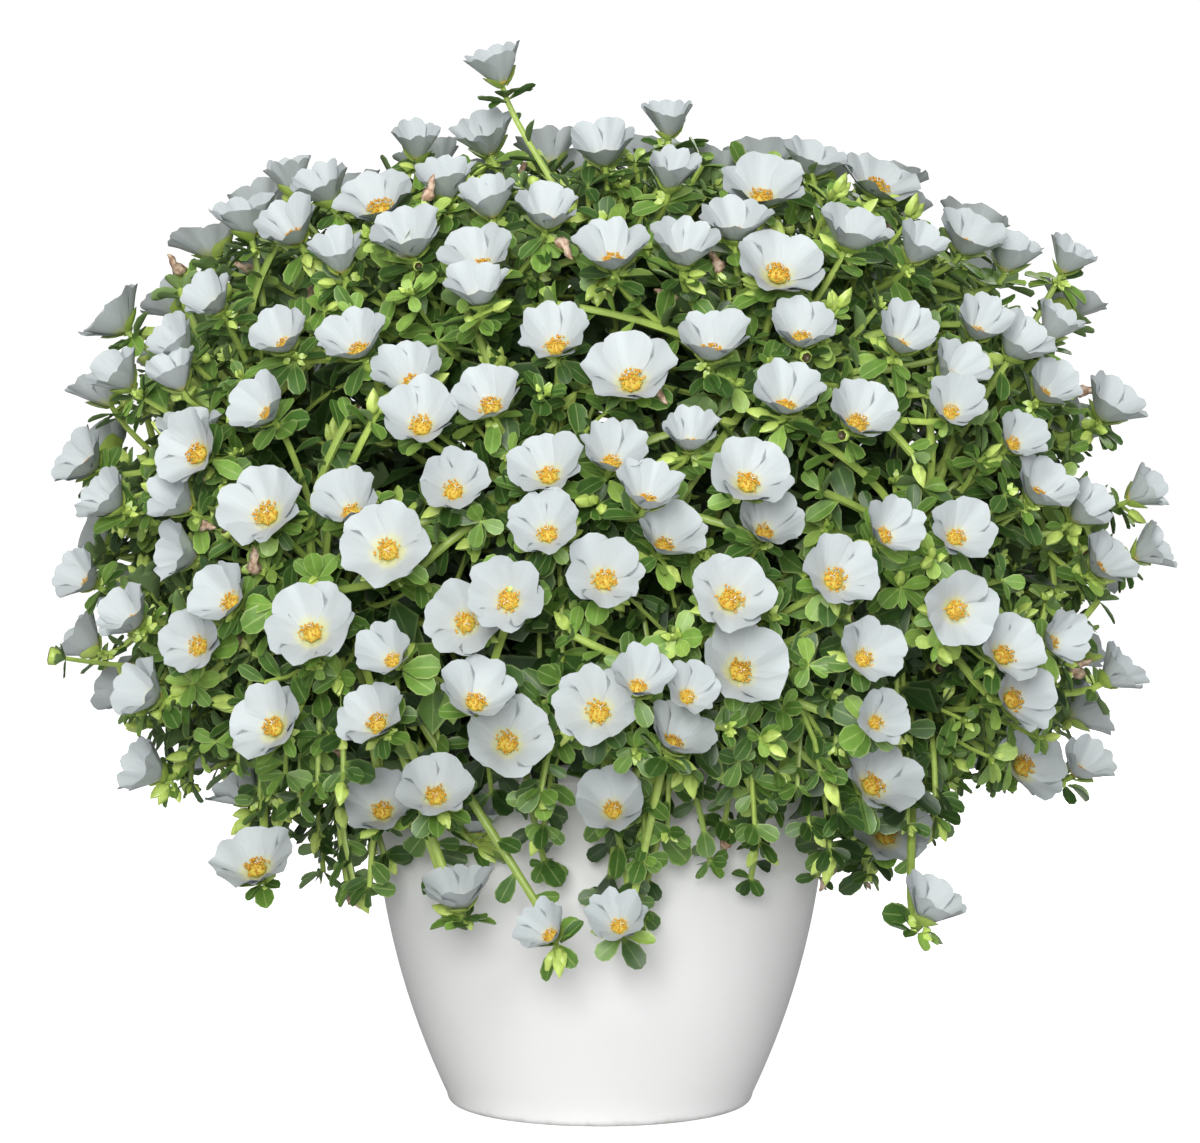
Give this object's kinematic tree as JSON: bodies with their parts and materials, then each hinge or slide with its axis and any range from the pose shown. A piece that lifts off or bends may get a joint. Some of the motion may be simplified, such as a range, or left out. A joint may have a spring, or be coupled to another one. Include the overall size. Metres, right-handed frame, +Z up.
{
  "type": "potted portulaca",
  "caption": "Flared round balcony pot filled with soil, with a dome of leafy portulaca sprays that carry white cup-shaped blooms.",
  "frame": {"origin": "middle of the pot's flat underside", "axes": "+Z up; -Y is the side that was pictured; +X is to the right as seen from that side"},
  "size_m": [0.5899, 0.5922, 0.5517],
  "materials": {
    "white_plastic": "satin",
    "potting_mix": "matte",
    "foliage": "satin",
    "stems": "satin",
    "petals": "matte",
    "stamens": "matte",
    "buds": "satin",
    "withered": "matte"
  },
  "bodies": {
    "root": {"pot": "white_plastic", "soil": "potting_mix", "spray_01": "foliage", "spray_02": "foliage", "spray_03": "foliage", "spray_04": "foliage", "spray_05": "foliage", "spray_06": "foliage", "spray_07": "foliage", "spray_08": "foliage", "spray_09": "foliage", "spray_10": "foliage", "spray_11": "foliage", "spray_12": "foliage", "spray_13": "foliage", "spray_14": "foliage", "spray_15": "foliage", "spray_16": "foliage", "spray_17": "foliage", "spray_18": "foliage", "spray_19": "foliage", "spray_20": "foliage", "spray_21": "foliage", "spray_22": "foliage", "spray_23": "foliage", "spray_24": "foliage", "spray_25": "foliage", "spray_26": "foliage", "spray_27": "foliage", "spray_28": "foliage"}
  },
  "joints": []
}
